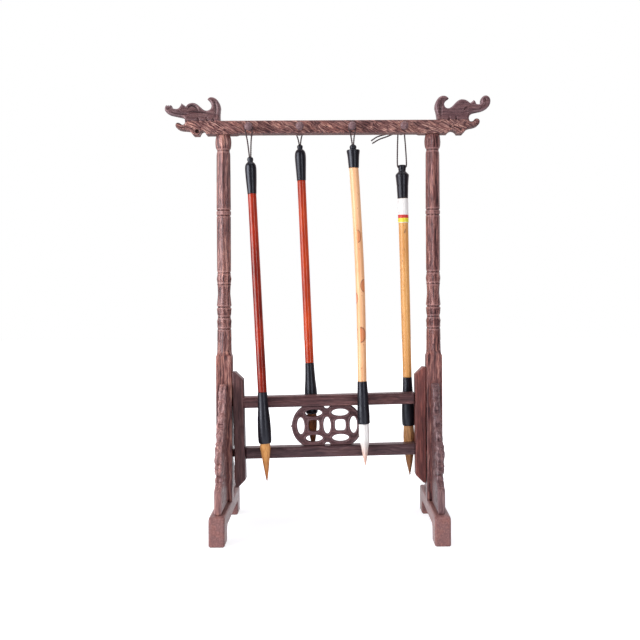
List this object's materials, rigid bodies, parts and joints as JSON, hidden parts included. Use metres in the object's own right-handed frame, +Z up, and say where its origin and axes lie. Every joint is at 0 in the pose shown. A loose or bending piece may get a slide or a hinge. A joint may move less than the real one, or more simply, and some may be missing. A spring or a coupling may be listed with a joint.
{
  "type": "brush hanging stand",
  "caption": "Wooden standing rack with a carved beam, turned posts and a pierced coin panel, from whose pegs writing brushes hang by cord loops and swing.",
  "frame": {"origin": "on the floor under the middle of the beam, at the middle of the stand's width and depth", "axes": "+X along the beam to the right seen from the front, +Y from front to back, +Z up"},
  "size_m": [0.3248, 0.14, 0.4297],
  "materials": {
    "wood": "oiled dark hardwood with fine pale figure",
    "peg_wood": "turned and waxed",
    "cord": "thin braided cord",
    "horn": "polished black horn",
    "dark_red_lacquer": "glossy dark red lacquer over mottled bamboo",
    "orange_lacquer": "glossy orange-red lacquer",
    "spotted_bamboo": "pale bamboo with brown spots",
    "golden_bamboo": "golden bamboo",
    "golden_hair": "animal hair",
    "dark_hair": "animal hair",
    "white_hair": "animal hair",
    "brown_hair": "animal hair",
    "paper": "plain paper band"
  },
  "bodies": {
    "stand": {"left_foot": "wood", "right_foot": "wood", "left_post": "wood", "right_post": "wood", "side_board_left": "wood", "side_board_right": "wood", "bracket_left_front": "wood", "bracket_left_back": "wood", "bracket_right_front": "wood", "bracket_right_back": "wood", "lower_rail": "wood", "upper_rail": "wood", "coin_panel": "wood", "beam": "wood", "dragon_head_left": "wood", "dragon_head_right": "wood", "front_peg_1": "peg_wood", "front_peg_2": "peg_wood", "front_peg_3": "peg_wood", "front_peg_4": "peg_wood", "back_peg_1": "peg_wood", "back_peg_2": "peg_wood", "back_peg_3": "peg_wood", "back_peg_4": "peg_wood"},
    "loop_1": {"brush_1_cord": "cord"},
    "brush_1": {"brush_1_cap": "horn", "brush_1_handle": "dark_red_lacquer", "brush_1_ferrule": "horn", "brush_1_tuft": "golden_hair"},
    "loop_2": {"brush_2_cord": "cord"},
    "brush_2": {"brush_2_cap": "horn", "brush_2_handle": "orange_lacquer", "brush_2_ferrule": "horn", "brush_2_tuft": "dark_hair"},
    "loop_3": {"brush_3_cord": "cord"},
    "brush_3": {"brush_3_cap": "horn", "brush_3_handle": "spotted_bamboo", "brush_3_ferrule": "horn", "brush_3_tuft": "white_hair"},
    "loop_4": {"brush_4_cord": "cord"},
    "brush_4": {"brush_4_cap": "horn", "brush_4_handle": "golden_bamboo", "brush_4_band": "paper", "brush_4_ferrule": "horn", "brush_4_tuft": "brown_hair"}
  },
  "joints": [
    {"name": "brush_1_sway", "type": "hinge", "parent": "stand", "child": "loop_1", "pos_m": [-0.0779, -0.0154, 0.39785], "axis": [0, 1, 0], "range_deg": [-9, 5]},
    {"name": "brush_1_nod", "type": "hinge", "parent": "loop_1", "child": "brush_1", "pos_m": [-0.07648, -0.0154, 0.36768], "axis": [1, 0, 0], "range_deg": [-20, 0.2]},
    {"name": "brush_2_sway", "type": "hinge", "parent": "stand", "child": "loop_2", "pos_m": [-0.0291, 0.0154, 0.39785], "axis": [0, 1, 0], "range_deg": [-9, 9]},
    {"name": "brush_2_nod", "type": "hinge", "parent": "loop_2", "child": "brush_2", "pos_m": [-0.02857, 0.0154, 0.38426], "axis": [1, 0, 0], "range_deg": [-0.2, 20]},
    {"name": "brush_3_sway", "type": "hinge", "parent": "stand", "child": "loop_3", "pos_m": [0.024, -0.0154, 0.39785], "axis": [0, 1, 0], "range_deg": [-9, 9]},
    {"name": "brush_3_nod", "type": "hinge", "parent": "loop_3", "child": "brush_3", "pos_m": [0.0246, -0.0154, 0.37936], "axis": [1, 0, 0], "range_deg": [-20, 0.2]},
    {"name": "brush_4_sway", "type": "hinge", "parent": "stand", "child": "loop_4", "pos_m": [0.0745, 0.0154, 0.39785], "axis": [0, 1, 0], "range_deg": [-2.2, 9]},
    {"name": "brush_4_nod", "type": "hinge", "parent": "loop_4", "child": "brush_4", "pos_m": [0.07526, 0.0154, 0.36056], "axis": [1, 0, 0], "range_deg": [-0.2, 20]}
  ]
}
